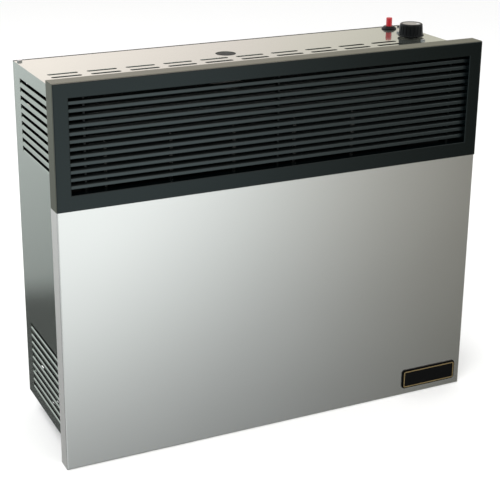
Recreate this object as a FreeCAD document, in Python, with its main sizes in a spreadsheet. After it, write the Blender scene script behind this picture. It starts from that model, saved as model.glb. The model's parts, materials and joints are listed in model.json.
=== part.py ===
import FreeCAD, Part
import math
import os
import re
import Sketcher

# Direct vent gas heater, hung on a wall. Millimetres, +Z up, the wall at y = 0, the front facing -Y.
# The origin is on the wall face, midway between the four wall screws.

sizes = {
    # casing of bent sheet
    "casing_height": 550,
    "casing_depth": 204,
    "casing_sheet": 1.0,
    "left_front_lip": 45,
    "right_front_lip": 104,
    "rear_lip": 12,
    "edge_lip": 14,
    "roof_front_lip": 12,
    "lip_play": 0.5,
    "rear_gap": 5,
    # wall fixing
    "wall_hole_radius": 3.5,
    "wall_hole_inset": 22,
    "wall_hole_margin": 35,
    # louvres in the sides
    "louvre_count": 9,
    "louvre_pitch": 13,
    "louvre_slot": 9,
    "louvre_end_margins": 54,
    "louvre_lean": 1,
    "louvre_blade": 2.6,
    "upper_louvre_drop": 20,
    "upper_louvre_back": 33,
    "lower_louvre_rise": 18,
    "lower_louvre_back": 26,
    # slots in the roof and the floor
    "slot_columns": 10,
    "slot_rows": 3,
    "slot_bar": 13.8,
    "slot_width": 8,
    "row_pitch": 19,
    "slot_side_margin": 18,
    "slot_right_margin": 64,
    "slot_front_margin": 51,
    "floor_slot_columns": 9,
    "floor_slot_rows": 3,
    "floor_row_pitch": 45,
    # front panel, a shallow tray
    "panel_width": 700,
    "panel_side_lap": 10,
    "panel_rise": 13,
    "panel_drop": 28,
    "panel_return": 26.5,
    "panel_sheet": 1.2,
    "panel_bend": 2,
    "front_gap": 20,
    "clip_width": 24,
    "clip_foot": 14,
    "clip_sheet": 1.5,
    "clip_inset": 20,
    "upper_clip_drop": 215,
    "lower_clip_rise": 60,
    # louvred grille
    "grille_sill": 23.3,
    "grille_face": 2,
    "grille_edge": 0.5,
    "grille_wall": 2.5,
    "grille_fit": 0.5,
    "grille_round": 1,
    "mouth_side": 22.5,
    "mouth_height": 139,
    "mouth_drop": 21.7,
    "slat_count": 12,
    "slat_margin": 8.725,
    "slat_height": 5.5,
    "slat_round": 0.9,
    "slat_depth": 12,
    "slat_setback": 6,
    "slat_play": 0.3,
    "comb_width": 3,
    "comb_inset": 24,
    "comb_bite": 7,
    "comb_web": 1.5,
    "notch_play": 0.1,
    # badge plate
    "badge_width": 100,
    "badge_height": 30,
    "badge_thickness": 1.6,
    "badge_corner": 4,
    "badge_side": 13,
    "badge_rise": 13,
    "backing_margin": 2,
    "backing_thickness": 1.2,
    # combustion chamber
    "chamber_left_gap": 52,
    "chamber_right_gap": 78,
    "chamber_rise": 45,
    "chamber_drop": 50,
    "chamber_back": 34,
    "chamber_front_gap": 34,
    "chamber_sheet": 1.2,
    "chamber_flange": 10,
    "rib_count": 5,
    "rib_side_margin": 34.2,
    "rib_width": 12,
    "rib_depth": 6,
    "rib_taper": 20,
    "rib_top_margin": 39,
    "rib_bottom_margin": 40,
    "foot_width": 60,
    "foot_flange": 24,
    "foot_sheet": 2,
    "foot_inset": 69,
    # vent through the wall
    "vent_rise": 95,
    "flue_radius": 51,
    "flue_reach": 30,
    "air_radius": 76,
    "air_reach": 25,
    "vent_wall": 1.2,
    "collar_flange": 10,
    "collar_play": 1,
    "drop_width": 200,
    "drop_depth": 29,
    "drop_above": 95,
    "drop_foot": 20,
    "air_inlet_width": 120,
    "air_inlet_height": 26,
    "air_inlet_rise": 14,
    # sight glass
    "sight_offset": 21,
    "sight_front_gap": 116,
    "sight_radius": 16,
    "sight_wall": 1.2,
    "glass_margin": 5,
    "glass_thickness": 4,
    "glass_play": 0.3,
    "glass_rim": 4,
    "glass_clamp": 2,
    # burner
    "burner_share": 0.5459,
    "burner_rise": 45,
    "burner_radius": 19,
    "burner_wall": 1,
    "burner_end_gap": 148,
    "burner_taper": 20,
    "burner_throat": 12,
    "throat_length": 40,
    "bell_radius": 16,
    "bell_length": 12,
    "bell_gap": 8,
    "port_count": 6,
    "burner_land": 30,
    "port_bar": 16,
    "port_length": 8,
    "port_margin": 16,
    "saddle_sheet": 2,
    "saddle_margin": 6,
    "saddle_inset": 40,
    "saddle_play": 0.1,
    # burner access plate and orifice
    "access_rear": 18,
    "access_front": 22,
    "access_rise": 38,
    "access_height": 72,
    "access_land": 6,
    "access_sheet": 2,
    "holder_radius": 8,
    "holder_flange": 12,
    "holder_flange_thickness": 6,
    "holder_tail": 14,
    "nose_length": 24,
    "nose_radius": 3,
    "close_play": 0.05,
    # pilot group
    "pilot_share": 0.0688,
    "pilot_inset": 130,
    "lead_pitch": 12,
    "lead_rise": 16,
    "lead_bend": 12,
    "shelf_rise": 38,
    "shelf_length": 22,
    "shelf_width": 40,
    "shelf_sheet": 2,
    "pilot_radius": 5,
    "pilot_height": 34,
    "hood_radius": 7,
    "hood_height": 8,
    "probe_radius": 2.5,
    "probe_height": 42,
    "electrode_radius": 3.5,
    "electrode_height": 30,
    "electrode_tip": 1,
    "electrode_tip_height": 14,
    "seat_below": 6,
    "pilot_tube_radius": 2,
    "thermocouple_lead_radius": 1.5,
    "igniter_lead_radius": 2,
    "lead_hole_play": 0.5,
    # control compartment
    "partition_inset": 72,
    "knob_inset": 37,
    "knob_back": 95,
    "valve_width": 56,
    "valve_length": 110,
    "valve_height": 62,
    "valve_drop": 30,
    "valve_bevel": 6,
    "valve_boss_radius": 13,
    "valve_boss_height": 14,
    "port_boss_height": 8,
    "port_boss_wall": 4,
    "small_lead_inset": 13,
    "bracket_width": 40,
    "bracket_sheet": 2,
    "bracket_hole": 14,
    "screw_offset": 36,
    "screw_head_radius": 4,
    "screw_head_height": 2.4,
    "corner_screw_inset": 7,
    "corner_screw_front": 14,
    "corner_screw_rear": 13,
    # gas supply
    "inlet_gap": 24,
    "inlet_radius": 13,
    "inlet_flange": 18,
    "inlet_flange_thickness": 5,
    "inlet_below": 5,
    "inlet_above": 24,
    "inlet_bore": 9.2,
    "inlet_thread": 18,
    "inlet_pipe_radius": 8,
    "feed_radius": 5,
    "feed_bend": 24,
    # thermostat sensor
    "sensor_offset": 21,
    "sensor_back": 78,
    "bulb_radius": 4,
    "bulb_length": 90,
    "bulb_rise": 60,
    "capillary_radius": 1,
    "clip_height": 8,
    "clip_wall": 3,
    "clip_margin": 14,
    # piezo igniter
    "igniter_offset": 4,
    "igniter_back": 22,
    "barrel_radius": 8,
    "barrel_above": 3,
    "barrel_length": 52,
    "barrel_flange": 12,
    "barrel_flange_thickness": 3,
    "terminal_radius": 3,
    "terminal_length": 8,
    "nut_radius": 12.5,
    "nut_edge": 1.5,
    "nut_height": 5,
    "nut_top_radius": 8.5,
    "button_radius": 5,
    "button_above": 14,
    "button_inside": 26,
    "button_travel": 7,
    "button_bevel": 0.8,
    "button_play": 0.3,
    "igniter_turn_drop": 155,
    "igniter_fall_drop": 215,
    "igniter_lead_inset": 8,
    "igniter_lead_slack": 20,
    # control knob
    "knob_lift": 2.4,
    "knob_skirt": 21.3,
    "knob_skirt_height": 1.6,
    "knob_radius": 19.6,
    "knob_top_radius": 18.4,
    "knob_height": 20,
    "knob_bevel": 2,
    "knob_dish": 1.2,
    "knob_dish_radius": 14.5,
    "flute_count": 20,
    "flute_depth": 1.8,
    "flute_width": 4.4,
    "flute_top_margin": 3.6,
    "cap_thickness": 0.8,
    "cap_play": 0.2,
    "spindle_radius": 4,
    "spindle_in_knob": 12,
    "spindle_collar_radius": 6,
    "spindle_collar_height": 3,
    "plunger_radius": 7,
    "plunger_height": 20,
    "push_travel": 2,
    "bore_spare": 1,
}

# Levels and lines that several pieces share, as formulas of the sizes above.
places = {
    "casing_width": "panel_width - 2 * panel_side_lap",
    "side_line": "casing_width / 2",
    "wall_hole_span": "casing_width - 2 * wall_hole_inset",
    "wall_hole_rise": "casing_height - 2 * wall_hole_margin",
    "louvre_length": "casing_depth - louvre_end_margins",
    "column_pitch": "(casing_width - slot_side_margin - slot_right_margin) / slot_columns",
    "slot_length": "column_pitch - slot_bar",
    "slot_ease": "slot_width * 0.3",
    "partition_across": "side_line - partition_inset",
    "knob_across": "side_line - knob_inset",
    "sensor_across": "knob_across + sensor_offset",
    "igniter_across": "knob_across + igniter_offset",
    "igniter_lead_across": "side_line - igniter_lead_inset",
    "roof_level": "casing_height / 2",
    "floor_level": "-casing_height / 2",
    "roof_under": "roof_level - casing_sheet",
    "floor_over": "floor_level + casing_sheet",
    "casing_front": "-casing_depth",
    "face_line": "-(casing_depth + front_gap)",
    "panel_top": "roof_level + panel_rise",
    "panel_bottom": "floor_level - panel_drop",
    "upper_clip_level": "roof_level - upper_clip_drop",
    "lower_clip_level": "floor_level + lower_clip_rise",
    "mouth_width": "panel_width - 2 * mouth_side",
    "grille_height": "mouth_drop + mouth_height + grille_sill",
    "mouth_top": "panel_top - mouth_drop",
    "mouth_bottom": "mouth_top - mouth_height",
    "mouth_level": "mouth_top - mouth_height / 2",
    "slat_nose": "face_line + slat_setback",
    "slat_rear": "slat_nose + slat_depth",
    "slat_pitch": "(mouth_height - 2 * slat_margin) / (slat_count - 1)",
    "first_slat": "mouth_level - (slat_count - 1) / 2 * slat_pitch",
    "badge_right": "panel_width / 2 - badge_side",
    "badge_bottom": "panel_bottom + badge_rise",
    "chamber_left": "-side_line + chamber_left_gap",
    "chamber_right": "partition_across - chamber_right_gap",
    "chamber_width": "chamber_right - chamber_left",
    "chamber_centre": "(chamber_left + chamber_right) / 2",
    "chamber_depth": "casing_depth - chamber_back - chamber_front_gap",
    "rib_pitch": "(chamber_width - 2 * rib_side_margin) / (rib_count - 1)",
    "foot_span": "chamber_width - 2 * foot_inset",
    "chamber_bottom": "floor_level + chamber_rise",
    "chamber_top": "roof_level - chamber_drop",
    "chamber_floor": "chamber_bottom + chamber_sheet",
    "chamber_mouth": "-(chamber_back + chamber_depth)",
    "flue_bore": "flue_radius - vent_wall",
    "air_bore": "air_radius - vent_wall",
    "drop_rear": "drop_depth - chamber_back",
    "sight_across": "chamber_centre + sight_offset",
    "sight_back": "casing_depth - sight_front_gap",
    "glass_radius": "sight_radius + glass_margin",
    "burner_level": "chamber_bottom + burner_rise",
    "burner_half": "burner_radius + saddle_margin",
    "chamber_slack": "chamber_depth - 2 * chamber_sheet - 2 * burner_half - shelf_width",
    "burner_back": "chamber_back + chamber_sheet + chamber_slack * burner_share + burner_half",
    "pilot_back": "burner_back + burner_half + chamber_slack * pilot_share + shelf_width / 2",
    "access_back": "(burner_back - access_rear + pilot_back + access_front) / 2",
    "access_width": "pilot_back + access_front - burner_back + access_rear",
    "inlet_back": "burner_back - inlet_gap",
    "plate_inner": "chamber_right",
    "plate_outer": "chamber_right + access_sheet",
    "bell_end": "plate_inner - nose_length - bell_gap",
    "burner_length": "chamber_width - burner_end_gap",
    "port_pitch": "(burner_length - burner_land) / port_count",
    "port_width": "port_pitch - port_bar",
    "burner_total": "burner_length + burner_taper + throat_length + bell_length",
    "burner_left": "bell_end - burner_total",
    "pilot_across": "chamber_right - pilot_inset",
    "lead_level": "chamber_bottom + lead_rise",
    "shelf_level": "chamber_bottom + shelf_rise",
    "seat_level": "shelf_level - seat_below",
    "valve_top": "roof_under - valve_drop",
    "valve_bottom": "valve_top - valve_height - port_boss_height",
    "plunger_top": "valve_top + valve_boss_height",
    "plunger_bottom": "plunger_top - plunger_height",
    "small_lead_across": "knob_across - valve_width / 2 + small_lead_inset",
    "inlet_top": "floor_over + inlet_above",
    "bulb_bottom": "floor_over + bulb_rise",
    "bulb_top": "bulb_bottom + bulb_length",
    "barrel_top": "roof_level + barrel_above",
    "barrel_bottom": "roof_under - barrel_length",
    "terminal_end": "barrel_bottom - terminal_length",
    "igniter_turn_level": "roof_level - igniter_turn_drop",
    "igniter_drop_level": "roof_level - igniter_fall_drop",
    "nut_top": "roof_level + nut_height",
    "button_top": "nut_top + button_above",
    "button_bottom": "roof_under - button_inside",
    "knob_bottom": "roof_level + knob_lift",
    "knob_top": "knob_bottom + knob_height",
    "spindle_top": "knob_bottom + spindle_in_knob",
}

doc = FreeCAD.newDocument("direct_vent_heater")
sheet = doc.addObject("Spreadsheet::Sheet", "Sizes")
for row, (alias, value) in enumerate(sizes.items(), start=1):
    sheet.set(f"A{row}", str(value))
    sheet.setAlias(f"A{row}", alias)
doc.recompute()

nodes = []
plane_roles = {"plan": "XY_Plane", "front": "XZ_Plane", "side": "YZ_Plane"}
turns = {
    "x": FreeCAD.Rotation(FreeCAD.Vector(0, 1, 0), 90),
    "y": FreeCAD.Rotation(FreeCAD.Vector(1, 0, 0), -90),
    "z": FreeCAD.Rotation(),
}


def expand(text):
    # A formula in plain names becomes a formula of the sheet's cells.
    def swap(match):
        word = match.group(0)
        if word in places:
            return "(" + expand(places[word]) + ")"
        if word in sizes:
            return "Sizes." + word
        return word

    return re.sub(r"[a-z_][a-z0-9_]*", swap, text)


def number(text):
    return float(sheet.evalExpression(expand(text)))


def bind(item, prop, text):
    item.setExpression(prop, expand(text))


def put(item, x, y, z):
    for axis, text in zip("xyz", (x, y, z)):
        bind(item, "Placement.Base." + axis, text)
    return item


def keep(item):
    nodes.append(item)
    return item


# Solid blocks, rods and their sums and differences


def block(name, low, high):
    item = doc.addObject("Part::Box", name)
    for prop, start, end in zip(("Length", "Width", "Height"), low, high):
        bind(item, prop, f"({end}) - ({start})")
    return put(item, *low)


def rod(name, axis, start, radius, length):
    item = doc.addObject("Part::Cylinder", name)
    item.Placement = FreeCAD.Placement(FreeCAD.Vector(), turns[axis])
    bind(item, "Radius", radius)
    bind(item, "Height", length)
    return put(item, *start)


def joined(name, pieces):
    item = doc.addObject("Part::MultiFuse", name)
    item.Shapes = pieces
    item.Refine = True
    return item


def carved(name, base, tools):
    item = doc.addObject("Part::Cut", name)
    item.Base = base
    item.Tool = tools[0] if len(tools) == 1 else joined(name + "_tools", tools)
    item.Refine = True
    return item


def grouped(name, pieces):
    item = doc.addObject("Part::Compound", name)
    item.Links = pieces
    return item


# Bodies made from sketches


def body_at(label, x="0", y="0", z="0"):
    return put(doc.addObject("PartDesign::Body", label), x, y, z)


def drawing(body, name, plane, offset="0"):
    # Offsets run along +Z on the plan, along -Y on the front and along +X on the side plane.
    sketch = body.newObject("Sketcher::SketchObject", name)
    support = next(item for item in body.Origin.OriginFeatures if item.Role == plane_roles[plane])
    sketch.AttachmentSupport = [(support, "")]
    sketch.MapMode = "FlatFace"
    bind(sketch, "AttachmentOffset.Base.z", offset)
    return sketch


def hold(sketch, kind, text, *where):
    constraint = sketch.addConstraint(Sketcher.Constraint(kind, *where, number(text)))
    bind(sketch, f"Constraints[{constraint}]", text)


def tie(sketch, geometry, point, x, y):
    hold(sketch, "DistanceX", x, -1, 1, geometry, point)
    hold(sketch, "DistanceY", y, -1, 1, geometry, point)


def outline(sketch, corners):
    first = sketch.GeometryCount
    count = len(corners)
    spots = [FreeCAD.Vector(number(x), number(y), 0) for x, y in corners]
    for index in range(count):
        sketch.addGeometry(Part.LineSegment(spots[index], spots[(index + 1) % count]))
    for index in range(count):
        following = first + (index + 1) % count
        sketch.addConstraint(Sketcher.Constraint("Coincident", first + index, 2, following, 1))
    for index, (x, y) in enumerate(corners):
        tie(sketch, first + index, 1, x, y)


def rectangle(sketch, x0, y0, x1, y1):
    outline(sketch, [(x0, y0), (x1, y0), (x1, y1), (x0, y1)])


def circle(sketch, x, y, radius):
    centre = FreeCAD.Vector(number(x), number(y), 0)
    geometry = sketch.addGeometry(Part.Circle(centre, FreeCAD.Vector(0, 0, 1), number(radius)))
    hold(sketch, "Radius", radius, geometry)
    tie(sketch, geometry, 3, x, y)


def slot_rows_at(sketch, x, y, length, width, pitch, rows):
    # Slots with eased ends, one behind the other: x and y are the left end and centre line of the first.
    right = f"{x} + {length}"
    for row in range(int(number(rows))):
        front, back = (f"{y} + {row} * {pitch} {side} {width} / 2" for side in "-+")
        corners = [(f"{x} + slot_ease", front), (f"{right} - slot_ease", front)]
        corners += [(right, f"{front} + slot_ease"), (right, f"{back} - slot_ease")]
        corners += [(f"{right} - slot_ease", back), (f"{x} + slot_ease", back)]
        corners += [(x, f"{back} - slot_ease"), (x, f"{front} + slot_ease")]
        outline(sketch, corners)


def pad(body, sketch, length, back=False):
    feature = body.newObject("PartDesign::Pad", sketch.Name + "_pad")
    feature.Profile = sketch
    feature.Reversed = back
    bind(feature, "Length", length)
    return feature


def pocket(body, sketch, length=None, ahead=False):
    # Without a length the cut runs right through, both ways from the sketch.
    doc.recompute()
    before = body.Shape.Volume
    feature = body.newObject("PartDesign::Pocket", sketch.Name + "_cut")
    feature.Profile = sketch
    if length is None:
        feature.Type = "ThroughAll"
        feature.Midplane = True
    else:
        feature.Reversed = ahead
        bind(feature, "Length", length)
    doc.recompute()
    if body.Shape.Volume >= before:
        raise RuntimeError(f"{sketch.Name} cuts nothing from {body.Label}")
    return feature


def row_of(body, name, features, along, pitch, count):
    pattern = body.newObject("PartDesign::LinearPattern", name)
    pattern.Originals = features
    pattern.Direction = along
    pattern.Mode = "Spacing"
    bind(pattern, "Offset", pitch)
    bind(pattern, "Occurrences", count)
    body.Tip = pattern
    return pattern


def turned(label, corners, axis, x, y, z):
    # The outline is (along, radius) for a piece turned about X, and (radius, along) about Y or Z.
    body = body_at(label, x, y, z)
    sketch = drawing(body, label + "_profile", "front" if axis == "z" else "plan")
    outline(sketch, corners)
    feature = body.newObject("PartDesign::Revolution", label + "_turn")
    feature.Profile = sketch
    feature.ReferenceAxis = (sketch, ["H_Axis" if axis == "x" else "V_Axis"])
    feature.Angle = 360
    return body


def dressed_edges(body, kind, name, wanted):
    doc.recompute()
    base = body.Tip
    edges = [f"Edge{index}" for index, edge in enumerate(base.Shape.Edges, 1) if wanted(edge)]
    dressing = body.newObject("PartDesign::" + kind, name)
    dressing.Base = (base, edges)
    return dressing


def round_edges(body, name, wanted, radius):
    bind(dressed_edges(body, "Fillet", name, wanted), "Radius", radius)


def bevel_edges(body, name, wanted, size):
    bind(dressed_edges(body, "Chamfer", name, wanted), "Size", size)


def runs_along(edge, axis):
    span = edge.Vertexes[-1].Point - edge.Vertexes[0].Point
    return span.Length > 0 and abs(abs(span.normalize()[axis]) - 1) < 1e-6


# Tubes bent round corners


def bent_wire(points, bend):
    # Each corner is cut short by one slanting run, as in a tube bent over a small former.
    spots = [FreeCAD.Vector(*(number(text) for text in point)) for point in points]
    path = [spots[0]]
    for before, corner, after in zip(spots, spots[1:], spots[2:]):
        path.append(corner + (before - corner).normalize() * bend)
        path.append(corner + (after - corner).normalize() * bend)
    path.append(spots[-1])
    return Part.makePolygon(path), (spots[1] - spots[0]).normalize()


def tube(label, points, radius, bend):
    wire, heading = bent_wire(points, number(bend))
    start = wire.Vertexes[0].Point
    section = Part.Wire([Part.Circle(start, heading, number(radius)).toShape()])
    shape = wire.makePipeShell([section], True, False, 1)
    expected = math.pi * number(radius) ** 2 * wire.Length
    if abs(shape.Volume - expected) > expected / 100:
        raise RuntimeError(f"{label} has an uneven section")
    item = doc.addObject("Part::Feature", label)
    item.Shape = shape
    item.Placement = FreeCAD.Placement()
    return item


# Casing


def make_back_panel():
    body = keep(body_at("back_panel"))
    plate = drawing(body, "back_plate", "front")
    rectangle(plate, "-side_line", "floor_level", "side_line", "roof_level")
    circle(plate, "chamber_centre", "vent_rise", "air_radius + collar_play")
    for across in ("-wall_hole_span / 2", "wall_hole_span / 2"):
        for level in ("-wall_hole_rise / 2", "wall_hole_rise / 2"):
            circle(plate, across, level, "wall_hole_radius")
    pad(body, plate, "casing_sheet")


def louvres(body, name, side, back, lowest):
    # Each louvre is a lanced slot whose lower edge is pressed inwards as a leaning blade.
    slot = drawing(body, name + "_slot", "side")
    rectangle(slot, f"-({back} + louvre_length)", lowest, f"-{back}", f"{lowest} + louvre_slot")
    cut = pocket(body, slot)
    blade = drawing(body, name + "_blade", "front", back)
    foot_out = f"{side} * side_line"
    foot_in = f"{side} * (side_line - casing_sheet)"
    tip_out = f"{side} * (side_line - louvre_lean)"
    tip_in = f"{side} * (side_line - louvre_lean - casing_sheet)"
    tip_level = f"{lowest} + louvre_blade"
    outline(blade, [(foot_out, lowest), (foot_in, lowest), (tip_in, tip_level), (tip_out, tip_level)])
    lean = pad(body, blade, "louvre_length")
    row_of(body, name, [cut, lean], (slot, ["V_Axis"]), "louvre_pitch", "louvre_count")


def make_side_panel(label, side, front_lip):
    body = keep(body_at(label, z="floor_over"))
    wall = drawing(body, label + "_section", "plan")
    outer = f"{side} * side_line"
    inner = f"{side} * (side_line - casing_sheet)"
    front_end = f"{side} * (side_line - {front_lip})"
    rear_end = f"{side} * (side_line - rear_lip)"
    lip_end = f"{side} * (side_line - edge_lip)"
    rear = "-casing_sheet"
    rear_inner = "-2 * casing_sheet"
    front_inner = "casing_front + casing_sheet"
    section = [(outer, "casing_front"), (front_end, "casing_front"), (front_end, front_inner)]
    section += [(inner, front_inner), (inner, rear_inner), (rear_end, rear_inner)]
    section += [(rear_end, rear), (outer, rear)]
    outline(wall, section)
    pad(body, wall, "casing_height - 2 * casing_sheet")
    for name, offset in (("foot", "0"), ("head", "casing_height - 3 * casing_sheet")):
        lip = drawing(body, f"{label}_{name}_lip", "plan", offset)
        rectangle(lip, outer, front_inner, lip_end, rear_inner)
        pad(body, lip, "casing_sheet")
    set_height = "(louvre_count - 1) * louvre_pitch + louvre_slot"
    upper = f"casing_height - casing_sheet - upper_louvre_drop - ({set_height})"
    louvres(body, label + "_upper", side, "upper_louvre_back", upper)
    louvres(body, label + "_lower", side, "lower_louvre_back", "lower_louvre_rise - casing_sheet")


def screw_places():
    # Two screws beside the knob hold the valve, and four hold the roof to the sides.
    spots = [("knob_across", f"-knob_back + {sign} * screw_offset") for sign in (1, -1)]
    for side in (1, -1):
        across = f"{side} * (side_line - corner_screw_inset)"
        spots.append((across, "casing_front + corner_screw_front"))
        spots.append((across, "-corner_screw_rear"))
    return spots


def make_top_panel():
    body = keep(body_at("top_panel", z="roof_under"))
    plate = drawing(body, "roof_plate", "plan")
    rectangle(plate, "-side_line", "casing_front", "side_line", "-(casing_sheet + rear_gap)")
    circle(plate, "knob_across", "-knob_back", "bracket_hole")
    circle(plate, "igniter_across", "-igniter_back", "barrel_radius + close_play")
    circle(plate, "sight_across", "-sight_back", "sight_radius")
    pad(body, plate, "casing_sheet")
    lip = drawing(body, "roof_lip", "plan")
    lip_left = "-side_line + left_front_lip + lip_play"
    lip_right = "side_line - right_front_lip - lip_play"
    rectangle(lip, lip_left, "casing_front", lip_right, "casing_front + casing_sheet")
    pad(body, lip, "roof_front_lip", back=True)
    slot = drawing(body, "roof_slot", "plan")
    start = ("-side_line + slot_side_margin", "casing_front + slot_front_margin")
    slot_rows_at(slot, *start, "slot_length", "slot_width", "row_pitch", "slot_rows")
    cut = pocket(body, slot)
    row_of(body, "roof_slots", [cut], (slot, ["H_Axis"]), "column_pitch", "slot_columns")


def make_bottom_panel():
    body = keep(body_at("bottom_panel", z="floor_level"))
    plate = drawing(body, "floor_plate", "plan")
    rectangle(plate, "-side_line", "casing_front", "side_line", "-casing_sheet")
    circle(plate, "knob_across", "-inlet_back", "inlet_radius + close_play")
    pad(body, plate, "casing_sheet")
    slot = drawing(body, "floor_slot", "plan")
    start = ("-side_line + slot_side_margin", "casing_front + slot_front_margin")
    slot_rows_at(slot, *start, "slot_length", "slot_width", "floor_row_pitch", "floor_slot_rows")
    cut = pocket(body, slot)
    row_of(body, "floor_slots", [cut], (slot, ["H_Axis"]), "column_pitch", "floor_slot_columns")


# Front panel and grille


def make_front_panel():
    body = keep(body_at("front_panel", y="face_line"))
    half = "panel_width / 2"
    skin = drawing(body, "panel_skin", "front")
    rectangle(skin, f"-{half}", "panel_bottom", half, "panel_top")
    pad(body, skin, "panel_return", back=True)
    hollow = drawing(body, "panel_hollow", "front", "-panel_sheet")
    inner = f"{half} - panel_sheet"
    rectangle(hollow, f"-({inner})", "panel_bottom + panel_sheet", inner, "panel_top - panel_sheet")
    pocket(body, hollow, "panel_return")
    mouth = drawing(body, "panel_mouth", "front")
    margin = "grille_wall + grille_fit"
    across = f"mouth_width / 2 + {margin}"
    rectangle(mouth, f"-({across})", f"mouth_bottom - ({margin})", across, f"mouth_top + {margin}")
    pocket(body, mouth)
    outer = (number(half), number("panel_top"), number("panel_bottom"))

    def on_front_rim(edge):
        box = edge.BoundBox
        reach = max(abs(box.XMin), abs(box.XMax))
        upright = runs_along(edge, 2) and abs(reach - outer[0]) < 1e-6
        level = runs_along(edge, 0) and min(abs(box.ZMax - outer[1]), abs(box.ZMin - outer[2])) < 1e-6
        return max(abs(box.YMin), abs(box.YMax)) < 1e-6 and (upright or level)

    round_edges(body, "panel_rim", on_front_rim, "panel_bend")


def make_panel_clips():
    clips = []
    for level_name in ("upper_clip_level", "lower_clip_level"):
        for side in (1, -1):
            name = f"{level_name}_{'right' if side > 0 else 'left'}"
            inner_face = "face_line + panel_sheet"
            low = f"{level_name} - clip_width / 2"
            high = f"{level_name} + clip_width / 2"
            web_line = f"{side} * (side_line - clip_inset)"
            web_start = f"{web_line} - clip_sheet / 2"
            web_end = f"{web_line} + clip_sheet / 2"
            foot_start = f"{web_line} - clip_foot / 2"
            foot_end = f"{web_line} + clip_foot / 2"
            seats = [(inner_face, f"{inner_face} + clip_sheet")]
            seats.append(("casing_front - clip_sheet", "casing_front"))
            bends = [block(name + "_web", (web_start, inner_face, low), (web_end, "casing_front", high))]
            for place, (near, far) in zip(("front", "rear"), seats):
                bends.append(block(f"{name}_{place}", (foot_start, near, low), (foot_end, far, high)))
            clips.append(joined(name, bends))
    keep(grouped("panel_clips", clips))


def make_grille_frame():
    body = keep(body_at("grille_frame", y="face_line"))
    half = "panel_width / 2 - grille_edge"
    mouth = "mouth_width / 2"
    face = drawing(body, "grille_band", "front")
    rectangle(face, f"-({half})", "panel_top - grille_height", half, "panel_top - grille_edge")
    rectangle(face, f"-{mouth}", "mouth_bottom", mouth, "mouth_top")
    pad(body, face, "grille_face")
    collar = drawing(body, "grille_collar", "front")
    rim = f"{mouth} + grille_wall"
    rectangle(collar, f"-({rim})", "mouth_bottom - grille_wall", rim, "mouth_top + grille_wall")
    rectangle(collar, f"-{mouth}", "mouth_bottom", mouth, "mouth_top")
    pad(body, collar, "slat_setback + slat_depth + comb_web", back=True)

    def on_face_rim(edge):
        return abs(edge.BoundBox.YMin + number("grille_face")) < 1e-6 and edge.BoundBox.YLength < 1e-6

    round_edges(body, "grille_rim", on_face_rim, "grille_round")


def make_grille_slats():
    reach = "mouth_width / 2 - slat_play"
    nose = number("slat_nose") + 1e-3

    def at_nose(edge):
        return runs_along(edge, 0) and edge.BoundBox.YMax < nose

    for index in range(int(number("slat_count"))):
        label = f"grille_slat_{index + 1:02d}"
        level = f"first_slat + {index} * slat_pitch"
        body = keep(body_at(label, x=f"-({reach})"))
        section = drawing(body, label + "_section", "side")
        low, high = (f"{level} {side} slat_height / 2" for side in "-+")
        rectangle(section, "slat_nose", low, "slat_rear", high)
        pad(body, section, f"2 * ({reach})")
        round_edges(body, label + "_nose", at_nose, "slat_round")


def make_grille_comb(label, left_edge):
    body = keep(body_at(label, x=left_edge))
    web = drawing(body, label + "_web", "side")
    rectangle(web, "slat_rear - comb_bite", "mouth_bottom", "slat_rear + comb_web", "mouth_top")
    pad(body, web, "comb_width")
    notch = drawing(body, label + "_notch", "side")
    half = "slat_height / 2 + notch_play"
    rectangle(notch, "slat_rear - comb_bite", f"first_slat - ({half})", "slat_rear", f"first_slat + {half}")
    cut = pocket(body, notch)
    row_of(body, label + "_notches", [cut], (notch, ["V_Axis"]), "slat_pitch", "slat_count")


def make_badge(label, margin, front, thickness):
    body = keep(body_at(label, y=front))
    plate = drawing(body, label + "_outline", "front")
    low = (f"badge_right - badge_width - {margin}", f"badge_bottom - {margin}")
    high = (f"badge_right + {margin}", f"badge_bottom + badge_height + {margin}")
    rectangle(plate, *low, *high)
    pad(body, plate, thickness)
    round_edges(body, label + "_corners", lambda edge: runs_along(edge, 1), f"badge_corner + {margin}")


# Combustion chamber and vent


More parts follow.
